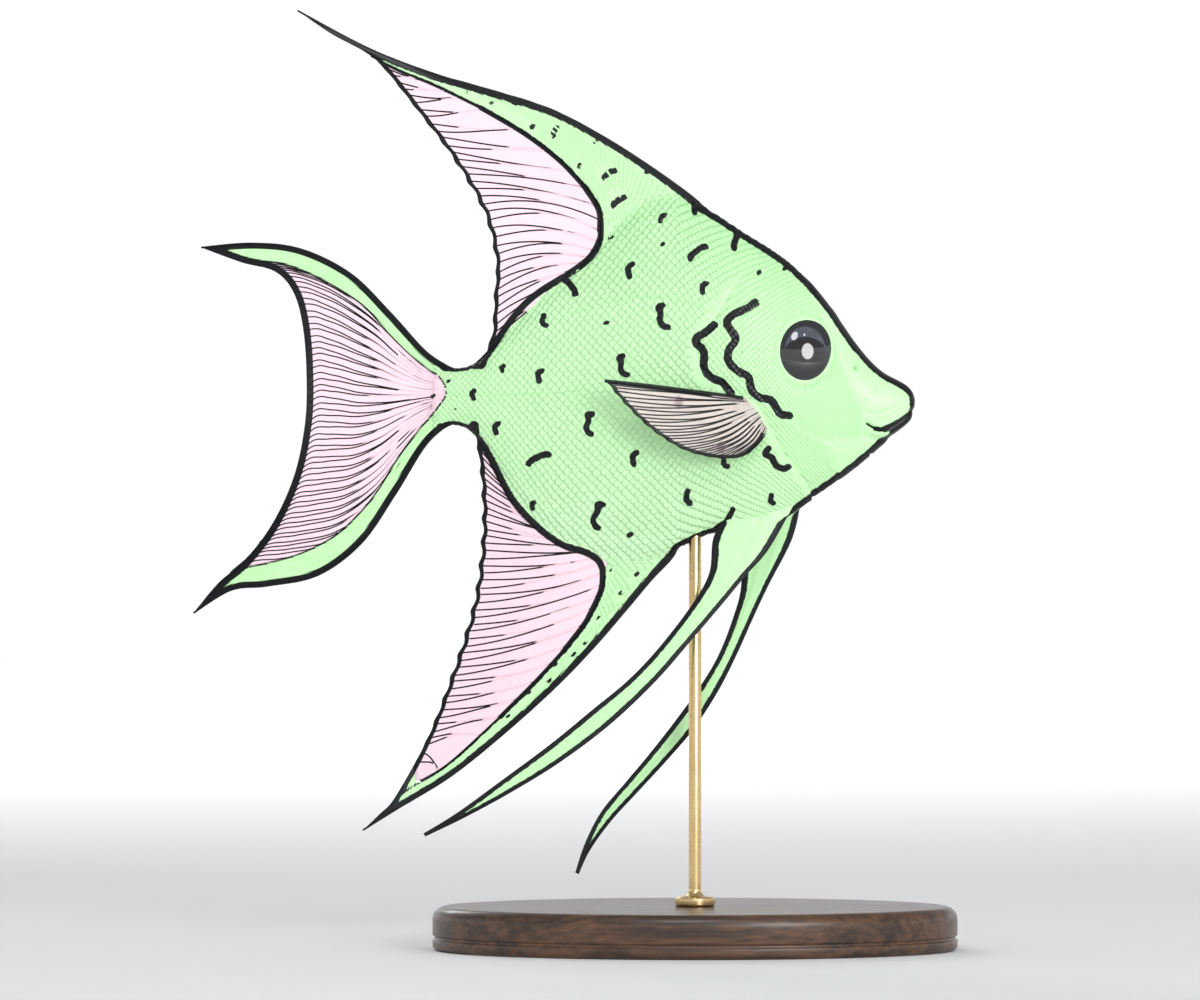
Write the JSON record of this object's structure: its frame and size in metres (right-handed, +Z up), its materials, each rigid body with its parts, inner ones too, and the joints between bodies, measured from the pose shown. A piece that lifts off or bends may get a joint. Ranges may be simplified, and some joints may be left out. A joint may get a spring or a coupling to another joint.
{
  "type": "marble angelfish display model",
  "caption": "Life-size marble angelfish in a swimming pose, with tall swept fins and long trailing pelvic fins, held by a slim rod on a flat oval base.",
  "frame": {"origin": "middle of the stand base's flat underside, straight below the rod", "axes": "+X towards the snout, +Y to the fish's left side, +Z up; the fish swims level along +X"},
  "size_m": [0.1222, 0.054, 0.1504],
  "materials": {
    "skin": "wet scaled fish skin, pale mint green with black marbling",
    "fin_membrane": "thin fin membrane, pale pink between dark branched rays",
    "pectoral_membrane": "see-through fin membrane, beige between dark rays",
    "eye": "clear wet cornea over a dark iris and black pupil",
    "wood": "dark stained hardwood, satin lacquer",
    "brass": "brushed and lacquered"
  },
  "bodies": {
    "root": {"head": "skin", "jaw_lower": "skin", "gill_cover_right": "skin", "gill_cover_left": "skin", "trunk": "skin", "tail_stalk": "skin", "dorsal_fin_spines": "skin", "anal_fin_spines": "skin", "pelvic_fin_right": "skin", "pelvic_fin_left": "skin", "dorsal_fin_sail": "fin_membrane", "anal_fin_sail": "fin_membrane", "tail_fin": "fin_membrane", "pectoral_fin_right": "pectoral_membrane", "pectoral_fin_left": "pectoral_membrane", "eye_right": "eye", "eye_left": "eye", "stand_base": "wood", "stand_rod": "brass"}
  },
  "joints": []
}
